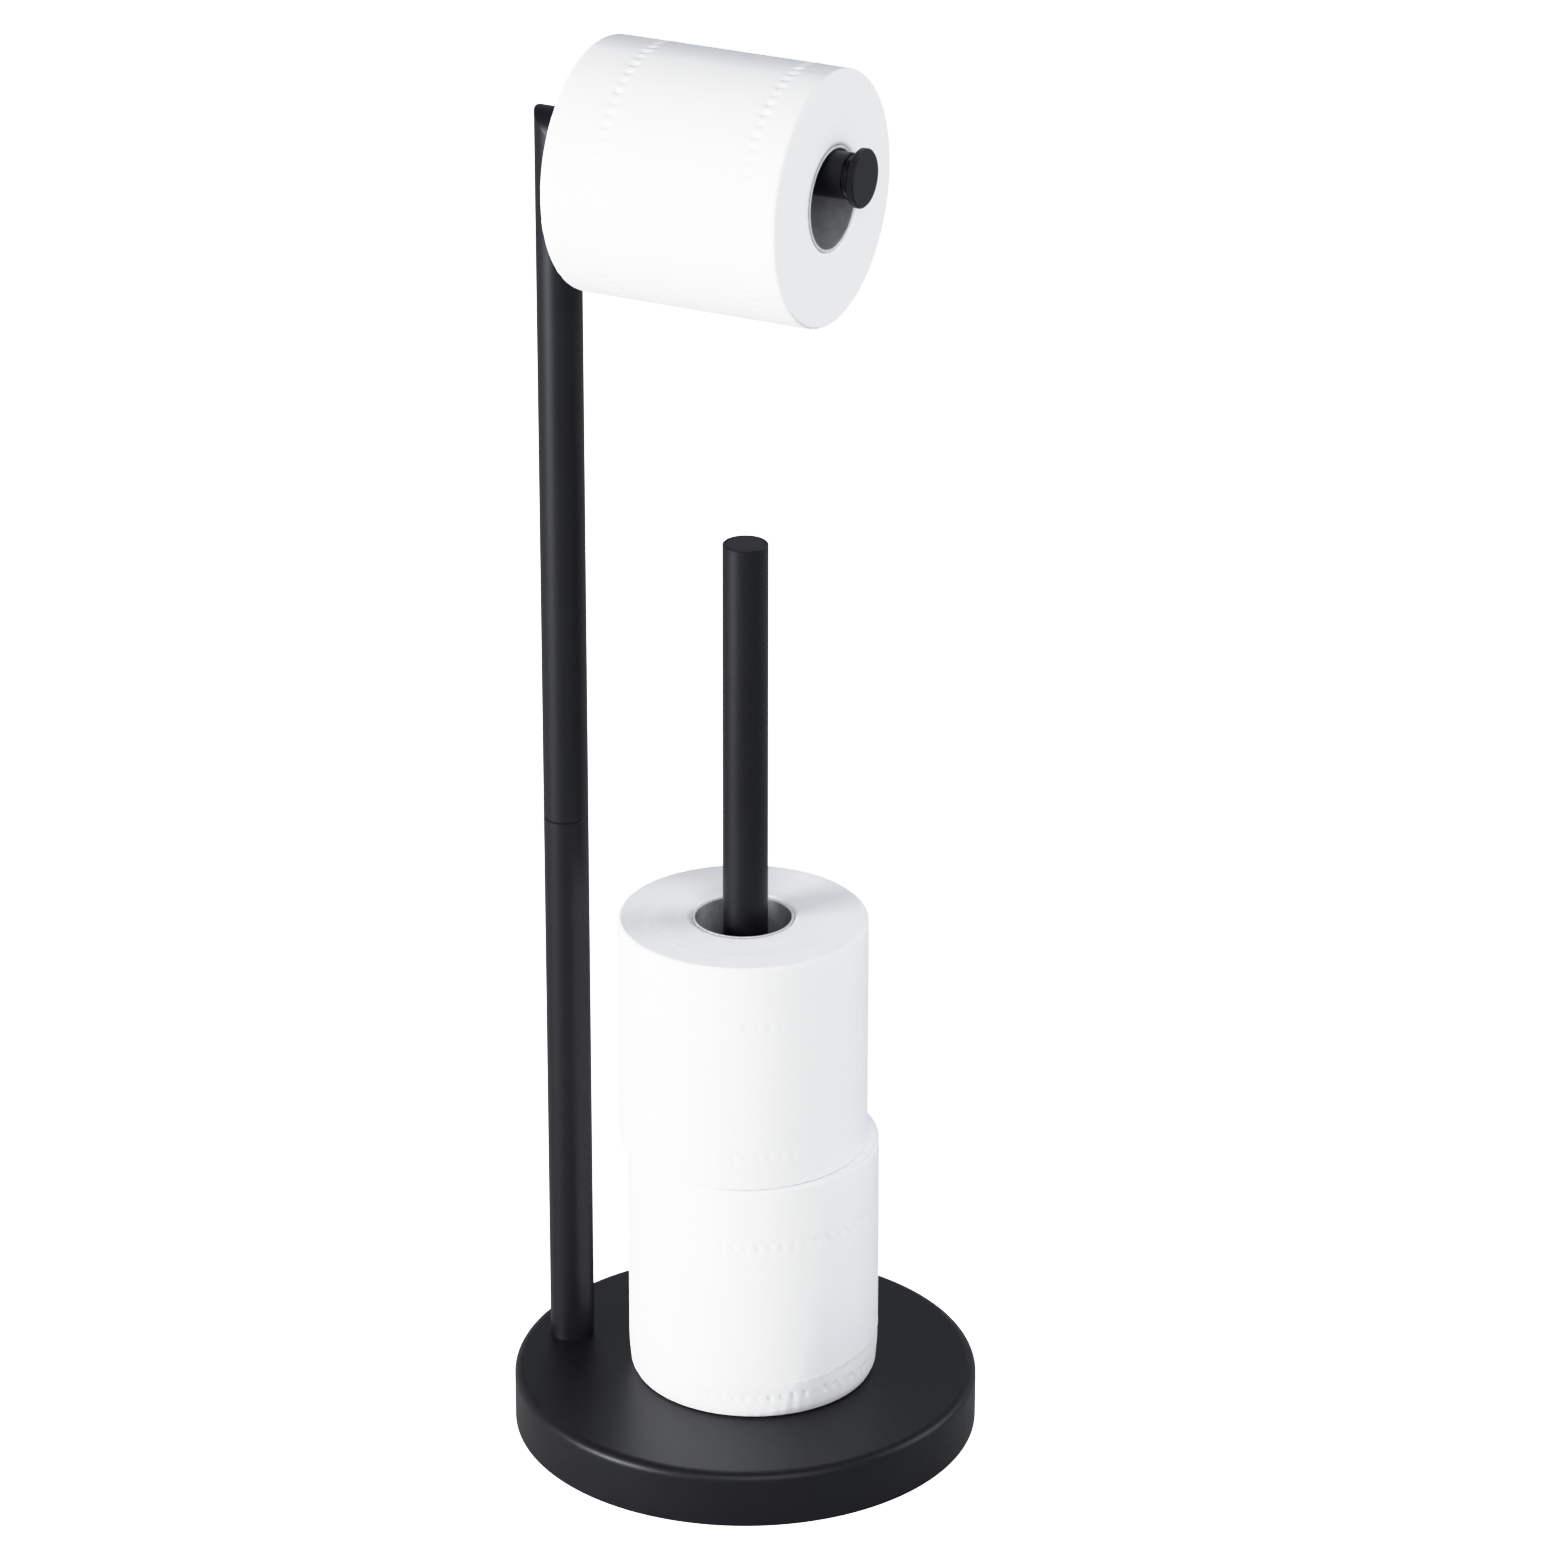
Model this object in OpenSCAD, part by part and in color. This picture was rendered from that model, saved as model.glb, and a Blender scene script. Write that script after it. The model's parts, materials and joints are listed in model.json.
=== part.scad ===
// Free-standing toilet paper holder with a reserve post.
// A weighted round base carries a tall main post, in two sections, and a short reserve post.
// The main post ends in a mitred elbow and a level arm that holds the roll in use.
// Two reserve rolls stand on the base around the reserve post.
// Millimetres, +Z up. The origin is the centre of the base, on the floor.
// +X runs from the main post towards the reserve post. The user stands on the -Y side.

/* [Base] */
// Diameter of the base cover
base_d = 200; // [185:1:240]
// Height of the base's top above the floor
base_h = 25.4; // [22:0.2:34]
// Radius of the cover's rounded top edge
base_edge_r = 4; // [2:0.5:6]
// Sheet thickness of the pressed cover
cover_t = 1; // [0.8:0.1:1.5]
// Thickness of the non-slip ring under the base
ring_t = 2.2; // [1.8:0.1:3]

/* [Posts and arm] */
// Outer diameter of all the tubes
tube_d = 19; // [18:0.5:22]
// Wall thickness of the tubes
tube_wall = 1.2; // [1:0.1:1.5]
// Distance of the main post from the reserve post
post_spacing = 80; // [78:0.5:84]
// Height of the screwed joint in the main post
joint_z = 272.5; // [220:0.5:330]
// Height of the top of the reserve post
reserve_top_z = 406; // [380:1:410]
// Height of the arm's centre line
arm_z = 574.5; // [572:0.5:620]
// Turn of the arm about the main post, towards the user
arm_turn = 8; // [0:1:15]
// Length of the arm, from the main post's centre to the face of its end disc
arm_reach = 138; // [136:1:160]
// Diameter of the arm's end disc
disc_d = 24; // [23:0.5:28]
// Thickness of the end disc
disc_t = 3.3; // [2.5:0.1:4]

/* [Paper rolls] */
// Length of every roll
roll_l = 105; // [95:1:106]
// Diameter of the roll on the arm
arm_roll_d = 105; // [95:1:106]
// Diameter of the lower reserve roll
lower_roll_d = 108; // [95:1:110]
// Diameter of the upper reserve roll
upper_roll_d = 106.5; // [95:0.5:110]
// Outer diameter of the cardboard cores
core_d = 43; // [40:0.5:45]
// Wall thickness of the cardboard cores
core_t = 1.2; // [0.8:0.1:1.5]

/* [Hidden] */
$fn = 96;

eps = 1;                         // overshoot of every cutting tool
fit_gap = 0.05;                  // radial gap between a tube and what is pressed into it
touch_gap = 0.3;                 // gap between a roll and what carries it

tube_r = tube_d / 2;
bore_r = tube_r - tube_wall;     // inner radius of the tubes
insert_r = bore_r - fit_gap;
insert_l = 22;                   // length of the inserts in the tube ends
tube_edge = 0.4;                 // chamfer on the tube ends

// Base: the stack from the floor up is ring, bottom plate, ballast, cover.
cover_r = base_d / 2;
skirt_z = 0.8;                   // lower edge of the cover's skirt
cavity_r = cover_r - cover_t;
cavity_top = base_h - cover_t;
inner_edge_r = base_edge_r - cover_t;
plate_t = 1;
plate_z = ring_t;
ballast_z = plate_z + plate_t;
ballast_r = cavity_r - 0.2;
web_t = 10;                      // ballast left between a screw's recess and the cover
ring_outer_r = cover_r - 2.5;
ring_inner_r = cover_r - 9.5;

// Screws that hold the posts: M6 socket heads, each on a wide washer.
post_screw_r = 3;
post_screw_l = 30;
post_hole_r = 3.3;
post_head_r = 5;
post_head_h = 6;
hex_key_d = 5.8;                 // across the corners of the key's socket
hex_key_depth = 3;
washer_r = 8;
washer_t = 1.6;
recess_r = 9;
washer_z = cavity_top - web_t - washer_t;
post_places = [[-post_spacing, 0], [0, 0]];

// Screws that hold the bottom plate: M4 pan heads in brass inserts.
plate_screw_count = 4;
plate_screw_circle_r = 55;
plate_screw_r = 2;
plate_hole_r = 2.3;
plate_head_r = 3.75;
plate_head_h = 1.3;
plate_screw_l = 8;
brass_insert_r = 3.5;
brass_insert_l = 9;
plate_screw_place_angle = 45;

// Screwed joint of the main post: an M8 stud between two inserts.
stud_r = 4;
stud_l = 36;
stud_gap = 0.06;                 // radial running gap of the stud
stud_edge = 0.6;
seam = 0.1;                      // gap between the two tube sections

// Arm end: a turned disc with a waisted neck, screwed into the arm tube.
neck_l = 3.4;
neck_r = 7.4;
disc_edge = 0.7;
arm_tube_end = arm_reach - disc_t - neck_l;
disc_stem_r = 4;
disc_stem_l = 14;
cap_r = bore_r - fit_gap;
cap_l = 9;

// Rolls.
core_r = core_d / 2;
core_bore_r = core_r - core_t;
paper_edge_r = 1.2;              // soft rounding of a roll's shoulders
arm_roll_start = 19.3;           // from the main post's centre to the roll's near end
arm_roll_drop = core_bore_r - tube_r - touch_gap;
arm_roll_z = arm_z - arm_roll_drop;
lower_roll_z = base_h + touch_gap;
lower_roll_l = roll_l + 4.3;
upper_roll_z = lower_roll_z + lower_roll_l + touch_gap;
upper_roll_l = roll_l - 2.4;
lower_roll_place = [3.4, 1.2];
upper_roll_place = [-0.8, -0.2];

cut = 4 * base_d;                // larger than the object, for half-space cuts

black = "#242528";
steel = "#9fa2a6";

// ---------- placing ----------

module at_main_post() {
    translate([-post_spacing, 0, 0]) children();
}

// Local +X runs along the arm, from the elbow's centre.
module at_arm() {
    translate([-post_spacing, 0, arm_z]) rotate([0, 0, -arm_turn]) children();
}

// Local +Z runs along the arm, from the elbow's centre.
module along_arm() {
    at_arm() rotate([0, 90, 0]) children();
}

module at_post_screws() {
    for (place = post_places) translate([place[0], place[1], 0]) children();
}

module at_plate_screws() {
    for (i = [0 : plate_screw_count - 1])
        rotate([0, 0, plate_screw_place_angle + i * 360 / plate_screw_count])
            translate([plate_screw_circle_r, 0, 0]) children();
}

// ---------- shapes that repeat ----------

// A disc from z = 0 to h, with its top edge rounded to radius r.
module rounded_disc(radius, h, r) {
    rotate_extrude() {
        square([radius - r, h]);
        square([radius, h - r]);
        translate([radius - r, h - r]) intersection() {
            circle(r = r);
            square([r, r]);
        }
    }
}

// A straight tube with chamfered outer edges at the ends that are asked for.
module tube(length, chamfer_low = true, chamfer_high = true) {
    low = chamfer_low ? tube_edge : 0;
    high = chamfer_high ? tube_edge : 0;
    rotate_extrude() polygon([
        [bore_r, 0], [tube_r - low, 0], [tube_r, low],
        [tube_r, length - high], [tube_r - high, length], [bore_r, length]
    ]);
}

// A plug with a through bore, pressed into a tube's end.
module bored_insert(bore) {
    difference() {
        cylinder(r = insert_r, h = insert_l);
        translate([0, 0, -eps]) cylinder(r = bore, h = insert_l + 2 * eps);
    }
}

// Everything above the elbow's mitre plane, in the arm's own frame.
module mitre_side(above) {
    rotate([0, 45, 0]) translate([-cut / 2, -cut / 2, above ? 0 : -cut]) cube(cut);
}

// Wound paper: a thick ring with softly rounded shoulders.
module paper_ring(diameter, length) {
    outer = diameter / 2;
    flat = length - 2 * paper_edge_r;
    rotate_extrude() {
        translate([core_r, 0]) square([outer - paper_edge_r - core_r, length]);
        translate([core_r, paper_edge_r]) square([outer - core_r, flat]);
        for (z = [paper_edge_r, length - paper_edge_r])
            translate([outer - paper_edge_r, z]) circle(r = paper_edge_r);
    }
}

module core_ring(length) {
    difference() {
        cylinder(r = core_r, h = length);
        translate([0, 0, -eps]) cylinder(r = core_bore_r, h = length + 2 * eps);
    }
}

// ---------- base ----------

module base_cover() {
    color(black) difference() {
        translate([0, 0, skirt_z]) rounded_disc(cover_r, base_h - skirt_z, base_edge_r);
        rounded_disc(cavity_r, cavity_top, inner_edge_r);
        at_post_screws() cylinder(r = post_hole_r, h = base_h + eps);
    }
}

module base_ballast() {
    color("#8c8a86") difference() {
        translate([0, 0, ballast_z])
            rounded_disc(ballast_r, cavity_top - ballast_z, inner_edge_r);
        at_post_screws() {
            cylinder(r = post_hole_r, h = base_h);
            cylinder(r = recess_r, h = washer_z + washer_t);
        }
        at_plate_screws() cylinder(r = brass_insert_r, h = ballast_z + brass_insert_l);
    }
}

module ballast_inserts() {
    color("#b08d4c") at_plate_screws() translate([0, 0, ballast_z]) difference() {
        cylinder(r = brass_insert_r - fit_gap, h = brass_insert_l);
        translate([0, 0, -eps]) cylinder(r = plate_screw_r + fit_gap, h = brass_insert_l + 2 * eps);
    }
}

module bottom_plate() {
    color(steel) difference() {
        translate([0, 0, plate_z]) cylinder(r = ballast_r, h = plate_t);
        at_post_screws() cylinder(r = recess_r, h = ballast_z + eps);
        at_plate_screws() cylinder(r = plate_hole_r, h = ballast_z + eps);
    }
}

module plate_screws() {
    slot_w = 1;
    slot_depth = 0.6;
    color(steel) at_plate_screws() difference() {
        union() {
            translate([0, 0, plate_z - plate_head_h]) cylinder(r = plate_head_r, h = plate_head_h);
            translate([0, 0, plate_z - fit_gap]) cylinder(r = plate_screw_r, h = plate_screw_l);
        }
        for (turn = [0, 90])
            translate([0, 0, plate_z - plate_head_h]) rotate([0, 0, turn])
                cube([2 * plate_screw_r + slot_w, slot_w, 2 * slot_depth], center = true);
    }
}

module non_slip_ring() {
    color("#1c1c1c") difference() {
        cylinder(r = ring_outer_r, h = ring_t);
        translate([0, 0, -eps]) cylinder(r = ring_inner_r, h = ring_t + 2 * eps);
    }
}

module post_screws() {
    color(steel) at_post_screws() translate([0, 0, washer_z]) difference() {
        union() {
            translate([0, 0, -post_head_h]) cylinder(r = post_head_r, h = post_head_h);
            cylinder(r = post_screw_r, h = post_screw_l);
        }
        translate([0, 0, -post_head_h - eps])
            cylinder(d = hex_key_d, h = hex_key_depth + eps, $fn = 6);
    }
}

module post_washers() {
    color(steel) at_post_screws() translate([0, 0, washer_z]) difference() {
        cylinder(r = washer_r, h = washer_t);
        translate([0, 0, -eps]) cylinder(r = post_hole_r, h = washer_t + 2 * eps);
    }
}

// ---------- main post ----------

module main_post_lower_tube() {
    color(black) at_main_post() translate([0, 0, base_h])
        tube(joint_z - base_h, chamfer_low = false);
}

module main_post_foot_insert() {
    color(steel) at_main_post() translate([0, 0, base_h])
        bored_insert(post_screw_r + fit_gap);
}

module lower_tube_top_insert() {
    color(steel) at_main_post() translate([0, 0, joint_z - insert_l])
        bored_insert(stud_r + stud_gap);
}

module joint_stud() {
    core = stud_r - stud_edge;
    color(steel) at_main_post() translate([0, 0, joint_z + seam / 2 - stud_l / 2]) {
        cylinder(r1 = core, r2 = stud_r, h = stud_edge);
        translate([0, 0, stud_edge]) cylinder(r = stud_r, h = stud_l - 2 * stud_edge);
        translate([0, 0, stud_l - stud_edge]) cylinder(r1 = stud_r, r2 = core, h = stud_edge);
    }
}

module upper_tube_bottom_insert() {
    color(steel) at_main_post() translate([0, 0, joint_z + seam])
        bored_insert(stud_r + stud_gap);
}

module main_post_upper_tube() {
    color(black) difference() {
        at_main_post() translate([0, 0, joint_z + seam])
            tube(arm_z + tube_d - joint_z - seam, chamfer_high = false);
        at_arm() mitre_side(above = true);
    }
}

// ---------- arm ----------

module arm_tube() {
    color(black) difference() {
        along_arm() translate([0, 0, -tube_d]) tube(arm_tube_end + tube_d, chamfer_low = false);
        at_arm() mitre_side(above = false);
    }
}

module arm_end_insert() {
    color(steel) along_arm() translate([0, 0, arm_tube_end - insert_l])
        bored_insert(disc_stem_r + fit_gap);
}

// The neck is waisted: its outline is a shallow arc between the tube and the disc.
module arm_end_disc() {
    waist_r = 6;
    waist_depth = 1;
    disc_r = disc_d / 2;
    color(black) along_arm() translate([0, 0, arm_tube_end]) {
        rotate_extrude() difference() {
            square([neck_r, neck_l]);
            translate([neck_r + waist_r - waist_depth, neck_l / 2]) circle(r = waist_r);
        }
        translate([0, 0, neck_l]) rotate_extrude() polygon([
            [0, 0], [disc_r - disc_edge, 0], [disc_r, disc_edge],
            [disc_r, disc_t - disc_edge], [disc_r - disc_edge, disc_t], [0, disc_t]
        ]);
        translate([0, 0, -disc_stem_l]) cylinder(r = disc_stem_r, h = disc_stem_l + neck_l);
    }
}

// ---------- reserve post ----------

module reserve_post_tube() {
    color(black) translate([0, 0, base_h]) tube(reserve_top_z - base_h, chamfer_low = false);
}

module reserve_post_foot_insert() {
    color(steel) translate([0, 0, base_h]) bored_insert(post_screw_r + fit_gap);
}

module reserve_post_cap() {
    cap_edge = 0.3;
    color(black) translate([0, 0, reserve_top_z - cap_l]) {
        cylinder(r = cap_r, h = cap_l - cap_edge);
        translate([0, 0, cap_l - cap_edge]) cylinder(r1 = cap_r, r2 = cap_r - cap_edge, h = cap_edge);
    }
}

// ---------- rolls ----------

module at_arm_roll() {
    at_arm() translate([arm_roll_start, 0, -arm_roll_drop]) rotate([0, 90, 0]) children();
}

module at_lower_roll() {
    translate([lower_roll_place[0], lower_roll_place[1], lower_roll_z]) children();
}

module at_upper_roll() {
    translate([upper_roll_place[0], upper_roll_place[1], upper_roll_z]) children();
}

module arm_roll_paper() {
    color("white") at_arm_roll() paper_ring(arm_roll_d, roll_l);
}

module arm_roll_core() {
    color("#8f8b85") at_arm_roll() core_ring(roll_l);
}

module lower_roll_paper() {
    color("white") at_lower_roll() paper_ring(lower_roll_d, lower_roll_l);
}

module lower_roll_core() {
    color("#8f8b85") at_lower_roll() core_ring(lower_roll_l);
}

module upper_roll_paper() {
    color("white") at_upper_roll() paper_ring(upper_roll_d, upper_roll_l);
}

module upper_roll_core() {
    color("#8f8b85") at_upper_roll() core_ring(upper_roll_l);
}

base_cover();
base_ballast();
ballast_inserts();
bottom_plate();
plate_screws();
non_slip_ring();
post_screws();
post_washers();
main_post_lower_tube();
main_post_foot_insert();
lower_tube_top_insert();
joint_stud();
upper_tube_bottom_insert();
main_post_upper_tube();
arm_tube();
arm_end_insert();
arm_end_disc();
reserve_post_tube();
reserve_post_foot_insert();
reserve_post_cap();
arm_roll_paper();
arm_roll_core();
lower_roll_paper();
lower_roll_core();
upper_roll_paper();
upper_roll_core();
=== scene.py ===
"""Looks of the free-standing toilet paper holder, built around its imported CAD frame."""
import json
import math

import bpy
import numpy as np
from mathutils import Matrix, Vector


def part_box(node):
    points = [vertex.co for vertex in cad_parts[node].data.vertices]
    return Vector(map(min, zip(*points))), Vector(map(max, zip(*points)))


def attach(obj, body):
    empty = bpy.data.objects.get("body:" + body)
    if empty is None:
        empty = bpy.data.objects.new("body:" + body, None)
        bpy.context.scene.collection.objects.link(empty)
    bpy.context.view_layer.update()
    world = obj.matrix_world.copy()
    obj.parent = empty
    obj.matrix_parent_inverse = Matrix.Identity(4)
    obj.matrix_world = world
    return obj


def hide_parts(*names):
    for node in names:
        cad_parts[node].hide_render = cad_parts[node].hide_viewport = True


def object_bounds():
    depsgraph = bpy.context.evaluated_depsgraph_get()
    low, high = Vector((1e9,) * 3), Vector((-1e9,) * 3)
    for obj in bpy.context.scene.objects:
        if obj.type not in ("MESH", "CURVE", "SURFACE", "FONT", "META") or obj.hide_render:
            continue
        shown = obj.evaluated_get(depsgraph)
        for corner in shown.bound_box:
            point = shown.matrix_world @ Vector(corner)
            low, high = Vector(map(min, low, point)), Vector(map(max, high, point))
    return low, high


MM = 0.001
TURN = 2 * math.pi
UPRIGHT = (0, 0, 1)

# ---------- camera: angles in degrees, 0 azimuth looks along +Y ----------
VIEW_AZIMUTH = 18.66
VIEW_ELEVATION = 23.59
VIEW_ROLL = 0.11
VIEW_DISTANCE = 2.598           # metres from the aim point
VIEW_AIM = (0.0105, 0.0048, 0.3028)
SENSOR = 36.0                   # mm, as the lens
LENS = 145.2

# ---------- tone curve: linear tones, where 1 is the brightest that a plain transform shows ----------
SHOULDER = 0.80                 # where highlights begin to ease off
SHOULDER_REACH = 0.90           # how slowly they do so
WHITE_POINT = 2.2               # the tone that comes out as pure white
SHOULDER_STEPS = 12
ALL_CHANNELS = 3                # the curve mapping's curve for red, green and blue together

# ---------- stage ----------
FLOOR_SIDE = 40.0               # metres
FLOOR_GLOW = 2.0                # emission that only the camera sees
SKY_STRENGTH = 0.5
LIGHT_AIM = Vector((0, 0, 0.3))     # the holder's middle
LIGHT_DISTANCE = 2.9            # metres from there
NEUTRAL = (1.0, 1.0, 1.0)
COOL = (0.95, 0.98, 1.0)
LIGHTS = (                      # angles in degrees, sizes in metres
    dict(name="key_left", azimuth=-44, elevation=2, size=(1.2, 1.4), radiance=33.5, colour=NEUTRAL),
    dict(name="over_camera", azimuth=28, elevation=30, size=(2.4, 1.7), radiance=3.5, colour=COOL),
    dict(name="rim", azimuth=118, elevation=24, size=(1.4, 1.6), radiance=4.5, colour=COOL),
)

# ---------- paper: the mesh ----------
AROUND = 576                    # mesh steps around a roll
SIDE_STEP = 3 * MM              # mesh steps along its side
CLOSE_STEP = 0.5 * MM           # the same where something is pressed into it
FACE_STEP = 0.95 * MM           # mesh steps across its end faces
ROUND_STEPS = 6                 # mesh steps over the rounding at each end
BORE_BEVEL = 0.5 * MM           # bevel of the paper's edge around its core

# ---------- paper: the pressed marks ----------
EMBOSS_PITCH = 5.2 * MM         # spacing around the roll
EMBOSS_LENGTH = 3.6 * MM        # along the roll's axis
EMBOSS_WIDTH = 2.3 * MM         # around the roll
EMBOSS_SLANT = 0.25             # how far a mark leans around the roll for each unit along it
EMBOSS_RISE = 0.12              # how far the paper between the marks stands out, as a share of their depth
RUBBED_DEPTH = 0.3              # what is left of the depth on the side away from the crisp one

# ---------- paper: the winding ----------
PLY = 0.28 * MM                 # thickness of the last sheet, seen as the step at its tail
TAIL_LIFT = 0.4                 # how far the tail edge lifts, in plies
TAIL_LIFT_LENGTH = 2.5 * MM     # how soon behind the edge the lift dies out
SIDE_INSET = 0.2                # how far the whole side lies inside its full radius, in plies
SKIN = 3 * MM                   # only so much of the radius is shaped
FULL_SKIN = 0.3 * MM            # and so much of it fully
SLOW_WAVES = (1, 7)             # waves round the roll, from the first up to and without the second
FINE_WAVES = (20, 70)
UNEVEN = 0.09 * MM              # slow unevenness of the side
UNEVEN_MOST = 0.3 * MM
PUCKER = 0.13 * MM              # fine creases near the ends of the side
PUCKER_MOST = 0.4 * MM
PUCKER_LENGTH = 7 * MM          # how far they reach in from the ends
CUT_EDGES = 0.06 * MM           # how far the cut edges on an end face differ
FACE_WANDER = 0.07 * MM         # slow unevenness of an end face
FACE_WANDER_MOST = 0.25 * MM
SHEET_LENGTH = 115 * MM         # from one perforation to the next
SHEET_OFFSET = 17 * MM          # the first perforation is this much less than a sheet past the UV's start
PERFORATION_HALF_WIDTH = 0.22 * MM
CUT_HALF_PITCH = 1.5 * MM       # from the middle of a cut to the middle of the next bridge
CUT_HALF_BRIDGE = 0.45 * MM     # a bridge is the paper left between two cuts

# ---------- paper: the crease at the low end of the lower roll ----------
CREASE_HEIGHT = 14.6 * MM       # above the roll's low end, at its front
CREASE_TILT = 4.7 * MM          # how much higher the crease lies on the roll's right
CREASE_FRONT = math.radians(289)    # angle of the front
CREASE_STEP = 0.15 * MM         # how far the paper under the crease is pressed in
CREASE_SOFTNESS = 0.9 * MM      # half the height that the step takes
CREASE_RIDGE = 0.20 * MM        # how far the crumpled edge stands out
CREASE_WIDTH = 1.15 * MM        # half the width of that edge
CREASE_DEEPEST = math.radians(-25)  # angle where the crease is strongest
CREASE_CLOSE_UP = 4 * MM        # finer mesh that far above and below CREASE_HEIGHT
FOOT_SQUEEZE = 0.8 * MM         # how much narrower the roll is at its very foot

# ---------- core ----------
CORE_AROUND = 192               # mesh steps around a core
CORE_RINGS = 84                 # mesh rings along its inside
CORE_GAP = 0.18 * MM            # dark line between the paper and its core
CORE_WALL = 1.2 * MM
CORE_EDGE = 0.25 * MM           # bevel of the core's rim
CORE_RECESS = 0.25 * MM         # how far the rim lies under the paper's end face
SEAM_LEAD = 78 * MM             # the winding seam moves this far along in one turn
SEAM_WIDTH = 0.9 * MM
SEAM_DEPTH = 0.16 * MM
SEAM_STEP = 0.10 * MM           # from one side of the seam to the other


# ---------- node helpers ----------

def new_material(name):
    """A material with only a Principled shader, and its nodes and shader."""
    material = bpy.data.materials.new(name)
    material.use_nodes = True
    tree = material.node_tree
    shader = next(n for n in tree.nodes if n.type == "BSDF_PRINCIPLED")
    return material, tree, shader


def add(tree, kind, **inputs):
    """A node of that kind. Keywords set its sockets, where they name one, or else its properties."""
    node = tree.nodes.new(kind)
    for name, value in inputs.items():
        socket = node.inputs.get(name.replace("_", " "))
        if socket is None:
            setattr(node, name, value)
        else:
            socket.default_value = value
    return node


def places(tree):
    """Object coordinates, in metres."""
    return add(tree, "ShaderNodeTexCoord").outputs["Object"]


def unrolled(tree):
    """The rolls' own UV, in metres around and metres along or across."""
    return add(tree, "ShaderNodeUVMap", uv_map="wrap").outputs["UV"]


def noise(tree, source, scale, detail=3.0, roughness=0.55, distortion=0.0):
    """Noise from 0 to 1. The scale is in bumps a metre, and may differ from axis to axis."""
    if isinstance(scale, tuple):
        source = stretched(tree, source, scale)
        scale = 1
    node = add(tree, "ShaderNodeTexNoise", Scale=scale, Detail=detail, Roughness=roughness,
               Distortion=distortion)
    tree.links.new(source, node.inputs["Vector"])
    return node.outputs["Fac"]


def stretched(tree, source, scale):
    """A vector multiplied by scale, axis by axis."""
    node = add(tree, "ShaderNodeVectorMath", operation="MULTIPLY")
    tree.links.new(source, node.inputs[0])
    node.inputs[1].default_value = scale
    return node.outputs["Vector"]


def ramp(tree, source, stops):
    """A colour ramp from (place, colour) stops."""
    node = tree.nodes.new("ShaderNodeValToRGB")
    elements = node.color_ramp.elements
    while len(elements) < len(stops):
        elements.new(0.5)
    for element, (place, colour) in zip(elements, stops):
        element.position = place
        element.color = (*colour, 1)
    tree.links.new(source, node.inputs["Fac"])
    return node.outputs["Color"]


def spread(tree, source, low, high):
    """A 0 to 1 value taken to low to high."""
    node = add(tree, "ShaderNodeMapRange")
    node.inputs["To Min"].default_value = low
    node.inputs["To Max"].default_value = high
    tree.links.new(source, node.inputs["Value"])
    return node.outputs["Result"]


def maths(tree, operation, first, second):
    """A Math node; each operand is a socket or a number."""
    node = add(tree, "ShaderNodeMath", operation=operation)
    for socket, value in zip(node.inputs, (first, second)):
        if isinstance(value, (int, float)):
            socket.default_value = value
        else:
            tree.links.new(value, socket)
    return node.outputs["Value"]


def blended(tree, first, share, second):
    """share of the first value, and the rest of the second."""
    some = maths(tree, "MULTIPLY", first, share)
    rest = maths(tree, "MULTIPLY", second, 1 - share)
    return maths(tree, "ADD", some, rest)


def mix_colour(tree, factor, first, second):
    """first where factor is 0 and second where it is 1; each is a colour or a colour socket."""
    node = add(tree, "ShaderNodeMix", data_type="RGBA")
    tree.links.new(factor, node.inputs["Factor"])
    first_colour, second_colour, result = node.inputs[6], node.inputs[7], node.outputs[2]
    for socket, value in ((first_colour, first), (second_colour, second)):
        if isinstance(value, tuple):
            socket.default_value = (*value, 1)
        else:
            tree.links.new(value, socket)
    return result


def bump(tree, height, distance, strength, under=None):
    """A bumped normal, on top of another one where under is given."""
    node = add(tree, "ShaderNodeBump", Strength=strength, Distance=distance)
    tree.links.new(height, node.inputs["Height"])
    if under is not None:
        tree.links.new(under, node.inputs["Normal"])
    return node.outputs["Normal"]


def wire(tree, shader, colour, roughness, normal):
    """Feeds the shader from three sockets."""
    tree.links.new(colour, shader.inputs["Base Color"])
    tree.links.new(roughness, shader.inputs["Roughness"])
    tree.links.new(normal, shader.inputs["Normal"])


# ---------- materials ----------

def black_coat():
    """Matte black powder coat: fine orange peel, a slight blue-grey bloom and uneven sheen."""
    material, tree, shader = new_material("black_coat")
    where = places(tree)
    cloud = noise(tree, where, 22, detail=4)
    grain = noise(tree, where, 2600, detail=2)
    peel = noise(tree, where, 700, detail=2, roughness=0.4)
    bloom = ramp(tree, cloud, [(0.3, (0.0027, 0.0025, 0.0036)), (0.7, (0.0041, 0.0039, 0.0054))])
    speck = ramp(tree, grain, [(0.62, (0, 0, 0)), (0.78, (1, 1, 1))])
    colour = mix_colour(tree, maths(tree, "MULTIPLY", speck, 0.35), bloom, (0.012, 0.012, 0.014))
    roughness = spread(tree, blended(tree, cloud, 0.6, grain), 0.35, 0.47)
    orange_peel = bump(tree, peel, 0.05 * MM, 0.5)
    wire(tree, shader, colour, roughness, bump(tree, grain, 0.03 * MM, 0.45, orange_peel))
    shader.inputs["Specular IOR Level"].default_value = 0.28
    shader.inputs["Specular Tint"].default_value = (0.88, 0.91, 1.0, 1)
    return material


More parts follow.
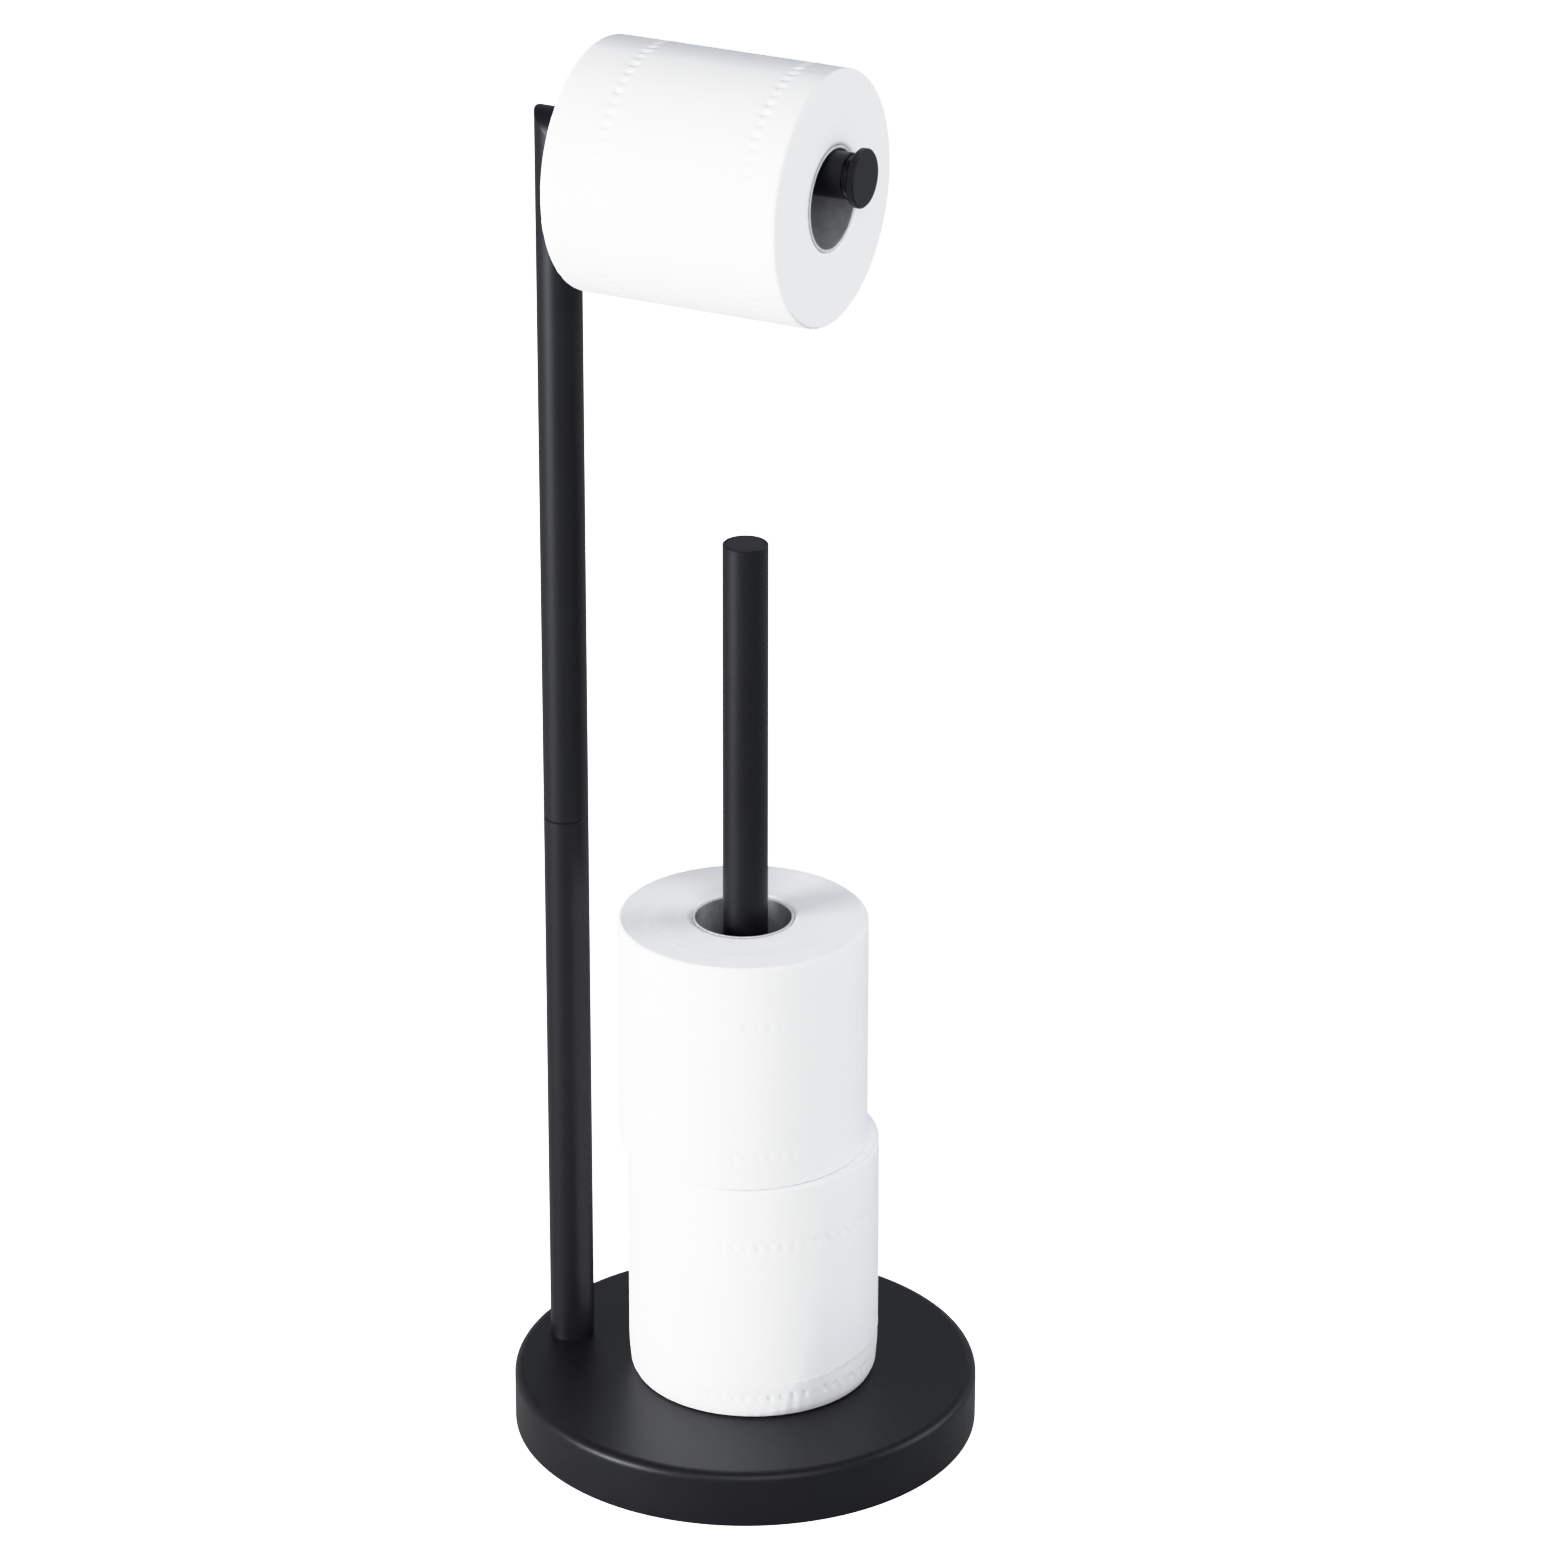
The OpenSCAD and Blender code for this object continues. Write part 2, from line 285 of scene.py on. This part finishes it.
def zinc_steel():
    """Zinc-plated steel with fine turning lines and a faint cloudy passivation."""
    material, tree, shader = new_material("zinc_steel")
    where = places(tree)
    cloud = noise(tree, where, 60, detail=5)
    lines = noise(tree, where, (400, 400, 12000), detail=3)
    colour = ramp(tree, cloud, [
        (0.25, (0.47, 0.48, 0.47)),
        (0.5, (0.58, 0.58, 0.57)),
        (0.8, (0.62, 0.61, 0.56)),
    ])
    wire(tree, shader, colour, spread(tree, lines, 0.25, 0.48), bump(tree, lines, 0.02 * MM, 0.4))
    shader.inputs["Metallic"].default_value = 1.0
    return material


def brass():
    """Turned brass, a little tarnished in patches."""
    material, tree, shader = new_material("brass")
    cloud = noise(tree, places(tree), 300, detail=4)
    colour = ramp(tree, cloud, [(0.3, (0.55, 0.38, 0.16)), (0.7, (0.72, 0.53, 0.27))])
    wire(tree, shader, colour, spread(tree, cloud, 0.28, 0.5), bump(tree, cloud, 0.02 * MM, 0.4))
    shader.inputs["Metallic"].default_value = 1.0
    return material


def cast_ballast():
    """Cast mineral weight: grey with aggregate specks and small pores."""
    material, tree, shader = new_material("cast_ballast")
    where = places(tree)
    cloud = noise(tree, where, 45, detail=6)
    pores = add(tree, "ShaderNodeTexVoronoi", Scale=420.0)
    tree.links.new(where, pores.inputs["Vector"])
    from_pore = pores.outputs["Distance"]
    grey = ramp(tree, cloud, [(0.25, (0.30, 0.29, 0.27)), (0.75, (0.46, 0.45, 0.42))])
    colour = mix_colour(tree, spread(tree, from_pore, 0.5, 0.0), grey, (0.18, 0.175, 0.165))
    wire(tree, shader, colour, spread(tree, cloud, 0.75, 0.95), bump(tree, from_pore, 0.4 * MM, 0.5))
    return material


def rubber():
    """Dull black rubber with a fine grain."""
    material, tree, shader = new_material("rubber")
    where = places(tree)
    cloud = noise(tree, where, 90, detail=4)
    grain = noise(tree, where, 3200, detail=2)
    colour = ramp(tree, cloud, [(0.3, (0.012, 0.012, 0.012)), (0.7, (0.022, 0.022, 0.021))])
    wire(tree, shader, colour, spread(tree, grain, 0.68, 0.86), bump(tree, grain, 0.06 * MM, 0.5))
    return material


def perforations(tree, uv):
    """1 on the cuts of the lines of perforations across the sheet, and 0 elsewhere."""
    split = add(tree, "ShaderNodeSeparateXYZ")
    tree.links.new(uv, split.inputs["Vector"])
    around, along = split.outputs["X"], split.outputs["Y"]
    from_line = maths(tree, "PINGPONG", maths(tree, "ADD", around, SHEET_OFFSET), SHEET_LENGTH / 2)
    on_line = maths(tree, "LESS_THAN", from_line, PERFORATION_HALF_WIDTH)
    from_bridge = maths(tree, "PINGPONG", along, CUT_HALF_PITCH)
    off_bridge = maths(tree, "GREATER_THAN", from_bridge, CUT_HALF_BRIDGE)
    return maths(tree, "MULTIPLY", on_line, off_bridge)


def tissue():
    """Tissue on the roll's side: soft creping across the sheet, fibres, and perforations."""
    material, tree, shader = new_material("tissue")
    uv = unrolled(tree)
    crepe = noise(tree, uv, (2600, 420, 1), detail=3, roughness=0.6)
    fibre = noise(tree, uv, (900, 900, 1), detail=5, roughness=0.7, distortion=0.8)
    cloud = noise(tree, uv, (28, 28, 1), detail=3)
    white = ramp(tree, blended(tree, cloud, 0.7, fibre), [
        (0.3, (0.865, 0.868, 0.875)),
        (0.7, (0.905, 0.905, 0.905)),
    ])
    cut = perforations(tree, uv)
    colour = mix_colour(tree, maths(tree, "MULTIPLY", cut, 0.18), white, (0.66, 0.67, 0.69))
    creped = bump(tree, crepe, 0.05 * MM, 0.45)
    fuzzy = bump(tree, fibre, 0.08 * MM, 0.35, creped)
    sunken = maths(tree, "SUBTRACT", 1.0, cut)
    wire(tree, shader, colour, spread(tree, fibre, 0.86, 0.97), bump(tree, sunken, 0.08 * MM, 0.5, fuzzy))
    shader.inputs["Specular IOR Level"].default_value = 0.15
    shader.inputs["Sheen Weight"].default_value = 0.08
    shader.inputs["Sheen Roughness"].default_value = 0.6
    return material


def tissue_end():
    """The roll's end face: the cut edges of the wound sheet, seen as fine rings."""
    material, tree, shader = new_material("tissue_end")
    uv = unrolled(tree)
    rings = noise(tree, uv, (14, 2600, 1), detail=2, roughness=0.5)
    bands = noise(tree, uv, (6, 420, 1), detail=3)
    fibre = noise(tree, places(tree), 1500, detail=4, roughness=0.7)
    colour = ramp(tree, blended(tree, rings, 0.45, bands), [
        (0.30, (0.88, 0.885, 0.89)),
        (0.50, (0.905, 0.910, 0.915)),
        (0.72, (0.93, 0.932, 0.935)),
    ])
    banded = bump(tree, bands, 0.15 * MM, 0.3)
    ringed = bump(tree, rings, 0.08 * MM, 0.4, banded)
    wire(tree, shader, colour, spread(tree, fibre, 0.88, 0.98), bump(tree, fibre, 0.06 * MM, 0.35, ringed))
    shader.inputs["Specular IOR Level"].default_value = 0.12
    return material


def cardboard():
    """Grey core board: mottled pulp and flecks."""
    material, tree, shader = new_material("cardboard")
    uv = unrolled(tree)
    pulp = noise(tree, uv, (150, 150, 1), detail=6, roughness=0.65)
    fibre = noise(tree, uv, (500, 1600, 1), detail=4, roughness=0.7, distortion=1.0)
    specks = noise(tree, uv, (900, 1300, 1), detail=1)
    flecks = ramp(tree, specks, [(0.70, (0, 0, 0)), (0.76, (1, 1, 1))])
    board = ramp(tree, pulp, [(0.3, (0.20, 0.205, 0.21)), (0.7, (0.29, 0.295, 0.30))])
    colour = mix_colour(tree, maths(tree, "MULTIPLY", flecks, 0.45), board, (0.12, 0.12, 0.12))
    wire(tree, shader, colour, spread(tree, fibre, 0.78, 0.95), bump(tree, fibre, 0.08 * MM, 0.5))
    shader.inputs["Specular IOR Level"].default_value = 0.2
    return material


def core_rim():
    """The cut edge of the core, which shows its paler plies."""
    material, tree, shader = new_material("core_rim")
    ply = noise(tree, places(tree), 700, detail=3)
    colour = ramp(tree, ply, [(0.3, (0.56, 0.56, 0.55)), (0.7, (0.74, 0.74, 0.73))])
    wire(tree, shader, colour, spread(tree, ply, 0.82, 0.95), bump(tree, ply, 0.06 * MM, 0.4))
    return material


def pale_floor():
    """Pale matte floor. The camera sees it lit up to the white of a studio sweep."""
    material, tree, shader = new_material("pale_floor")
    shader.inputs["Base Color"].default_value = (0.5, 0.5, 0.5, 1)
    shader.inputs["Roughness"].default_value = 0.9
    shader.inputs["Specular IOR Level"].default_value = 0.0
    shader.inputs["Emission Color"].default_value = (1, 1, 1, 1)
    seen = add(tree, "ShaderNodeLightPath").outputs["Is Camera Ray"]
    tree.links.new(maths(tree, "MULTIPLY", seen, FLOOR_GLOW), shader.inputs["Emission Strength"])
    return material


# ---------- mesh helpers ----------

def smooth_step(x, low, high):
    """0 below low, 1 above high, and an even S between them."""
    t = np.clip((x - low) / (high - low), 0, 1)
    return t * t * (3 - 2 * t)


def steps(start, stop, pitch):
    """Evenly spaced values from start up to, and without, stop, about pitch apart."""
    count = max(1, round(abs(stop - start) / pitch))
    return np.linspace(start, stop, count, endpoint=False)


def wave_noise(rng, angle, along, waves, length, turns_between):
    """Smooth noise that closes round the roll, about -1 to 1: a sum of random waves, each of which
    makes some turns_between periods round the roll and up to 1.5 periods along the length."""
    total = np.zeros(np.broadcast(angle, along).shape)
    for _ in range(waves):
        turns = rng.integers(*turns_between)
        total = total + (
            rng.uniform(0.4, 1.0)
            * np.sin(turns * angle + rng.uniform(0, TURN))
            * np.cos(along / length * rng.uniform(0.5, 3.0) * math.pi + rng.uniform(0, TURN))
        )
    return total / math.sqrt(waves)


def cylinder_of(node, axis):
    """(centre, length, radius) of a CAD node that is a cylinder or ring about axis, from its box."""
    low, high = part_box(node)
    cosines = np.abs(np.array(axis, float))
    sines = np.sqrt(np.maximum(0, 1 - cosines * cosines))
    # Each side of the box is length times its cosine plus the diameter times its sine.
    length, radius = np.linalg.lstsq(np.stack([cosines, 2 * sines], -1), np.array(high - low), rcond=None)[0]
    return (low + high) / 2, float(length), float(radius)


def turned(radius_of, height_of, around):
    """The radius, height and angle of every point of a profile turned about its axis, in rings."""
    rings = len(radius_of)
    angle = np.arange(around) / around * TURN
    radius = np.repeat(radius_of[:, None], around, 1)
    height = np.repeat(height_of[:, None], around, 1)
    return radius, height, np.repeat(angle[None, :], rings, 0)


def along_axis(radius, height, angle, centre, axis):
    """Points built around +Z from the roll's middle, taken to its real axis."""
    points = np.stack([radius * np.cos(angle), radius * np.sin(angle), height], -1)
    turn = Vector(UPRIGHT).rotation_difference(Vector(axis)).to_matrix()
    return points @ np.array(turn).T + np.array(centre)


def ring_mesh(name, points, girth, across_of, end_rings, materials):
    """A closed loop of rings: points[i, j] is ring i, place j around. Both directions close up.
    The UV is the way round in metres, up to girth, and across_of for each ring. The faces from each
    of end_rings to the ring after it have the second material."""
    rings, around = points.shape[:2]
    i, j = np.indices((rings, around))
    corner_ring = np.stack([i, i, i + 1, i + 1], -1).reshape(-1)
    corner_place = np.stack([j, j + 1, j + 1, j], -1).reshape(-1)
    vertex = corner_ring % rings * around + corner_place % around
    material_of_ring = np.zeros(rings, np.int32)
    material_of_ring[end_rings] = 1

    mesh = bpy.data.meshes.new(name)
    mesh.vertices.add(rings * around)
    mesh.vertices.foreach_set("co", points.reshape(-1).astype(np.float32))
    mesh.loops.add(len(vertex))
    mesh.loops.foreach_set("vertex_index", vertex.astype(np.int32))
    mesh.polygons.add(rings * around)
    mesh.polygons.foreach_set("loop_start", np.arange(0, len(vertex), 4, dtype=np.int32))
    mesh.polygons.foreach_set("material_index", np.repeat(material_of_ring, around))
    uv = np.stack([corner_place / around * girth, across_of[corner_ring % rings]], -1)
    mesh.uv_layers.new(name="wrap").data.foreach_set("uv", uv.astype(np.float32).reshape(-1))
    mesh.update(calc_edges=True)
    mesh.validate()
    mesh.shade_smooth()
    for material in materials:
        mesh.materials.append(material)
    piece = bpy.data.objects.new(name, mesh)
    bpy.context.scene.collection.objects.link(piece)
    return piece


# ---------- paper ----------

def side_places(start, stop, close_ups):
    """Places along the roll's side from start to stop, with finer steps at the close-ups."""
    near = 0.75 * EMBOSS_LENGTH
    stops = [start]
    for place in sorted(close_ups):
        stops += [max(place - near, stops[-1]), place + near]
    stops.append(stop)
    stretches = []
    for number, (low, high) in enumerate(zip(stops, stops[1:])):
        close_up = number % 2 == 1
        stretches.append(steps(low, high, CLOSE_STEP if close_up else SIDE_STEP))
    return np.unique(np.concatenate(stretches))


def paper_profile(outer, bore, half, shoulders, close_ups):
    """The radius and height of each ring, and the rings of the top and of the low face.
    The profile runs up the side, in over the top, down the bore and out under the bottom."""
    low_round, high_round = shoulders
    face_inner = bore + BORE_BEVEL
    side = side_places(low_round - half, half - high_round, close_ups)
    quarter = np.linspace(0, TURN / 4, ROUND_STEPS, endpoint=False)
    top = steps(outer - high_round, face_inner, FACE_STEP)
    low = steps(face_inner, outer - low_round, FACE_STEP)
    radius_of = np.concatenate([
        np.full(len(side), outer),
        outer - high_round + high_round * np.cos(quarter),
        top,
        [bore, bore],
        low,
        outer - low_round + low_round * np.sin(quarter),
    ])
    height_of = np.concatenate([
        side,
        half - high_round + high_round * np.sin(quarter),
        np.full(len(top), half),
        [half - BORE_BEVEL, BORE_BEVEL - half],
        np.full(len(low), -half),
        -half + low_round - low_round * np.cos(quarter),
    ])
    top_start = len(side) + ROUND_STEPS
    low_start = top_start + len(top) + 2
    return (radius_of, height_of, slice(top_start, top_start + len(top)),
            slice(low_start, low_start + len(low)))


def winding(rng, angle, height, outer, length, tail_angle, seed):
    """How far the side lies inside the full radius: one ply of drop round the roll, a tail that lifts
    a little, a soft unevenness, and fine creases near the ends."""
    past_tail = (angle - tail_angle) % TURN
    lift = np.exp(-past_tail * outer / TAIL_LIFT_LENGTH) * (0.6 + 0.4 * np.sin(5 * height / length + seed))
    drop = PLY * (past_tail / TURN - TAIL_LIFT * lift + SIDE_INSET)
    uneven = UNEVEN * (1 + wave_noise(rng, angle, height, 6, length, SLOW_WAVES))
    puckers = PUCKER * (1 + wave_noise(rng, angle, height, 12, 0.3 * length, FINE_WAVES))
    near_end = np.exp(-(length / 2 - np.abs(height)) / PUCKER_LENGTH)
    return drop + np.clip(uneven, 0, UNEVEN_MOST) + np.clip(puckers, 0, PUCKER_MOST) * near_end


def pressed_marks(angle, along, radius, rows, phase, crisp_side):
    """The two rows of pressed marks: 1 where pressed deepest, and a little below 0 between the marks.
    Handling has rubbed them down away from the crisp side."""
    count = round(TURN * radius / EMBOSS_PITCH)
    depth = np.zeros(np.broadcast(angle, along).shape)
    for row in rows:
        turns = angle / TURN * count + phase + EMBOSS_SLANT * (along - row) / EMBOSS_PITCH
        around = (turns % 1 - 0.5) * EMBOSS_PITCH
        # Each mark is a dent with a flat bottom, a little deeper or shallower than the next.
        strength = 0.75 + 0.25 * np.sin(np.floor(turns) * 2.4 + row * 900)
        mark = np.exp(-np.abs(around / (EMBOSS_WIDTH / 2)) ** 2.5) - EMBOSS_RISE
        depth = depth + strength * mark * np.exp(-np.abs((along - row) / (EMBOSS_LENGTH / 2)) ** 3)
    crisp = smooth_step(np.cos(angle - crisp_side), 0.4, 0.85)
    return depth * (RUBBED_DEPTH + (1 - RUBBED_DEPTH) * crisp)


def crease_height(angle):
    """Height of the lower roll's crease above the roll's low end: it climbs to one side and wanders."""
    wander = 0.5 * MM * np.sin(3 * angle + 1) + 0.25 * MM * np.sin(11 * angle)
    return CREASE_HEIGHT + CREASE_TILT * np.sin(angle - CREASE_FRONT) + wander


def crushed_foot(angle, height):
    """How far the lower roll's foot is pressed in: a standing crease, and softer paper below it."""
    above = height - crease_height(angle)
    below = smooth_step(-above, -CREASE_SOFTNESS, CREASE_SOFTNESS)
    crumpled = 0.7 + 0.3 * np.sin(61 * angle)
    ridge = crumpled * np.exp(-((above / CREASE_WIDTH) ** 2))
    strength = 0.25 + 0.75 * smooth_step(np.cos(angle - CREASE_DEEPEST), -0.1, 0.5)
    squeeze = FOOT_SQUEEZE * smooth_step(-height, -CREASE_HEIGHT, 0)
    return strength * (CREASE_STEP * below - CREASE_RIDGE * ridge) + squeeze


def end_face_dip(rng, angle, radius, outer):
    """How far an end face lies inside the roll's length: the cut edges, and a slow unevenness."""
    cut_edges = rng.uniform(0, CUT_EDGES, len(radius))[:, None]
    wander = FACE_WANDER * (1 + wave_noise(rng, angle, 3 * radius, 5, outer, SLOW_WAVES))
    return cut_edges + np.clip(wander, 0, FACE_WANDER_MOST)


def make_paper(roll, axis, seed, tail_angle, rows, pressed, crisp_side, shoulders, crushed, materials):
    """The wound paper of one roll: side with a tail edge and pressed rows, soft shoulders, ringed ends."""
    rng = np.random.default_rng(seed)
    node = roll + "_paper"
    centre, length, outer = cylinder_of(node, axis)
    bore = cylinder_of(roll + "_core", axis)[2] + CORE_GAP
    half = length / 2
    row_places = [rows[0] - half, half - rows[1]]
    close_ups = list(row_places)
    if crushed:
        close_ups += [CREASE_HEIGHT - half - CREASE_CLOSE_UP, CREASE_HEIGHT - half + CREASE_CLOSE_UP]
    radius_of, height_of, top_face, low_face = paper_profile(outer, bore, half, shoulders, close_ups)
    r, h, a = turned(radius_of, height_of, AROUND)

    # Only the roll's skin is shaped, and the marks die out before its shoulders.
    outside = smooth_step(r, outer - SKIN, outer - FULL_SKIN)
    off_shoulders = smooth_step(half - np.abs(h), 2 * MM, 5 * MM)
    inset = winding(rng, a, h, outer, length, tail_angle, seed)
    marks = pressed_marks(a, h, outer, row_places, rng.uniform(0, 1), crisp_side)
    inset = inset + pressed * off_shoulders * marks
    if crushed:
        inset = inset + crushed_foot(a, h + half)
    r = r - outside * inset
    for face, up in ((top_face, 1), (low_face, -1)):
        h[face] -= up * end_face_dip(rng, a[face], r[face], outer)

    # From the last of the top shoulder to the first of the low one, the material is the end faces'
    # own, and the UV runs across them.
    across_of = height_of.copy()
    inward = slice(top_face.start - 1, low_face.stop + 1)
    across_of[inward] = radius_of[inward]
    end_rings = slice(top_face.start - 2, low_face.stop + 1)
    points = along_axis(r, h, a, centre, axis)
    piece = ring_mesh(roll + "_tissue", points, TURN * outer, across_of, end_rings, materials)
    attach(piece, roll)
    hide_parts(node)


# ---------- core ----------

def make_core(roll, axis, seed, materials):
    """The cardboard core: a thin tube whose inside shows the step of its winding seam."""
    rng = np.random.default_rng(seed)
    node = roll + "_core"
    centre, length, outer = cylinder_of(node, axis)
    inner = outer - CORE_WALL
    half = length / 2 - CORE_RECESS
    inside = np.linspace(half - CORE_EDGE, CORE_EDGE - half, CORE_RINGS)

    # The profile runs up the outside, over the top rim, down the inside and under the low rim.
    rim = [outer - CORE_EDGE, inner + CORE_EDGE]
    radius_of = np.concatenate([[outer, outer], rim, np.full(CORE_RINGS, inner), rim[::-1]])
    height_of = np.concatenate([[CORE_EDGE - half, half - CORE_EDGE, half, half], inside, [-half, -half]])
    wall = slice(4, 4 + CORE_RINGS)
    rim_rings = [1, 2, 3, -3, -2, -1]
    r, h, a = turned(radius_of, height_of, CORE_AROUND)

    past_seam = (h[wall] / SEAM_LEAD + a[wall] / TURN + rng.uniform(0, 1)) % 1
    from_seam = np.minimum(past_seam, 1 - past_seam) * SEAM_LEAD
    r[wall] += SEAM_DEPTH * np.exp(-((from_seam / SEAM_WIDTH) ** 2)) - SEAM_STEP * past_seam

    points = along_axis(r, h, a, centre, axis)
    piece = ring_mesh(roll + "_board", points, TURN * outer, height_of, rim_rings, materials)
    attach(piece, roll)
    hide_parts(node)


# ---------- stage ----------

def direction(azimuth, elevation):
    """The unit vector towards a camera or a light, from angles in degrees."""
    a, e = math.radians(azimuth), math.radians(elevation)
    return Vector((math.sin(a) * math.cos(e), -math.cos(a) * math.cos(e), math.sin(e)))


def make_camera():
    """The camera of the fitted view, which looks at VIEW_AIM."""
    azimuth = math.radians(VIEW_AZIMUTH)
    back = direction(VIEW_AZIMUTH, VIEW_ELEVATION)
    level = Vector((math.cos(azimuth), math.sin(azimuth), 0))
    roll = Matrix.Rotation(math.radians(VIEW_ROLL), 3, back)
    right, up = roll @ level, roll @ back.cross(level)
    data = bpy.data.cameras.new("camera")
    data.sensor_width = SENSOR
    data.lens = LENS
    data.clip_start = 0.05
    data.clip_end = 60
    camera = bpy.data.objects.new("camera", data)
    place = Matrix((right, up, back)).transposed().to_4x4()
    place.translation = Vector(VIEW_AIM) + back * VIEW_DISTANCE
    camera.matrix_world = place
    bpy.context.scene.collection.objects.link(camera)
    bpy.context.scene.camera = camera


def softbox(name, azimuth, elevation, size, radiance, colour):
    """A rectangular light that faces the holder's middle. Its angles are measured as the camera's are."""
    data = bpy.data.lights.new(name, "AREA")
    data.shape = "RECTANGLE"
    data.size, data.size_y = size
    area = size[0] * size[1]
    data.energy = radiance * math.pi * area
    data.color = colour
    light = bpy.data.objects.new(name, data)
    towards = direction(azimuth, elevation)
    light.location = LIGHT_AIM + towards * LIGHT_DISTANCE
    light.rotation_mode = "QUATERNION"
    light.rotation_quaternion = towards.to_track_quat("Z", "Y")
    bpy.context.scene.collection.objects.link(light)


def make_world():
    """An even studio: paler near the horizon than overhead."""
    world = bpy.data.worlds.new("studio")
    bpy.context.scene.world = world
    world.use_nodes = True
    tree = world.node_tree
    background = next(n for n in tree.nodes if n.type == "BACKGROUND")
    split = add(tree, "ShaderNodeSeparateXYZ")
    tree.links.new(add(tree, "ShaderNodeTexCoord").outputs["Generated"], split.inputs["Vector"])
    sky = ramp(tree, split.outputs["Z"], [
        (0.0, (0.90, 0.94, 1.0)),
        (0.30, (0.80, 0.84, 0.88)),
        (1.0, (0.50, 0.52, 0.54)),
    ])
    tree.links.new(sky, background.inputs["Color"])
    background.inputs["Strength"].default_value = SKY_STRENGTH


def make_floor(height):
    """The square floor that the holder stands on."""
    mesh = bpy.data.meshes.new("floor")
    half = FLOOR_SIDE / 2
    corners = [(-half, -half, height), (half, -half, height), (half, half, height), (-half, half, height)]
    mesh.from_pydata(corners, [], [(0, 1, 2, 3)])
    floor = bpy.data.objects.new("floor", mesh)
    mesh.materials.append(pale_floor())
    bpy.context.scene.collection.objects.link(floor)


def make_tone_curve():
    """The shoulder of a camera's response: tones below SHOULDER stay as lit, brighter ones ease off to
    white."""
    settings = bpy.context.scene.view_settings
    settings.view_transform = "Standard"
    settings.use_curve_mapping = True
    mapping = settings.curve_mapping
    mapping.white_level = (WHITE_POINT, WHITE_POINT, WHITE_POINT)
    points = mapping.curves[ALL_CHANNELS].points
    points[0].location = (0, 0)
    points[1].location = (1, 1)
    full_rise = 1 - math.exp((SHOULDER - WHITE_POINT) / SHOULDER_REACH)
    for tone in np.linspace(SHOULDER, WHITE_POINT, SHOULDER_STEPS, endpoint=False):
        rise = 1 - math.exp((SHOULDER - tone) / SHOULDER_REACH)
        points.new(tone / WHITE_POINT, SHOULDER + (1 - SHOULDER) * rise / full_rise)
    for point in points:
        point.handle_type = "VECTOR"
    mapping.update()


# ---------- build ----------

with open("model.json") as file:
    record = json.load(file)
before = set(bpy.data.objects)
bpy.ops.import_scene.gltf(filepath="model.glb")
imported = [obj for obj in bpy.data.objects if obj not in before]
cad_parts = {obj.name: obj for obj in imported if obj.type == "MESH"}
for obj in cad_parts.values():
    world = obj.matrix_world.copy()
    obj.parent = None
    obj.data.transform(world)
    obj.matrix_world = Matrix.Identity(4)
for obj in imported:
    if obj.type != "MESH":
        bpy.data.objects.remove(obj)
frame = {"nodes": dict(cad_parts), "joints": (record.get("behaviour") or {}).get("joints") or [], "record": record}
cad_low, cad_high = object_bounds()

slot_materials = {
    "black_coat": black_coat(),
    "zinc_steel": zinc_steel(),
    "brass": brass(),
    "ballast": cast_ballast(),
    "rubber": rubber(),
    "tissue": tissue(),
    "cardboard": cardboard(),
}
for part in frame["record"]["subparts"]:
    node = frame["nodes"][part["node"]]
    node.data.materials.clear()
    node.data.materials.append(slot_materials[part["material_slot"]])

# For each roll: where its tail edge lies; how far its pressed rows are from its low and its high end,
# how deep they are and on which side they are crisp; the roundings of its low and its high end; and
# whether its foot is crushed.
arm_axis = next(joint["axis"] for joint in frame["joints"] if joint["name"] == "arm_roll_spin")
rolls = (
    dict(roll="arm_roll", axis=arm_axis, seed=11, tail_angle=math.radians(273),
         rows=(25 * MM, 15 * MM), pressed=1.25 * MM, crisp_side=math.radians(180),
         shoulders=(2.2 * MM, 1.6 * MM), crushed=False),
    dict(roll="lower_roll", axis=UPRIGHT, seed=23, tail_angle=math.radians(150),
         rows=(10 * MM, 27 * MM), pressed=0.48 * MM, crisp_side=math.radians(315),
         shoulders=(4.2 * MM, 0.8 * MM), crushed=True),
    dict(roll="upper_roll", axis=UPRIGHT, seed=37, tail_angle=math.radians(140),
         rows=(15 * MM, 27 * MM), pressed=0.30 * MM, crisp_side=math.radians(300),
         shoulders=(0.6 * MM, 1.8 * MM), crushed=False),
)
paper_materials = [slot_materials["tissue"], tissue_end()]
core_materials = [slot_materials["cardboard"], core_rim()]
for roll in rolls:
    make_paper(**roll, materials=paper_materials)
    make_core(roll["roll"], roll["axis"], roll["seed"] + 1, core_materials)

make_camera()
make_world()
make_floor(cad_low.z)
for light in LIGHTS:
    softbox(**light)
make_tone_curve()
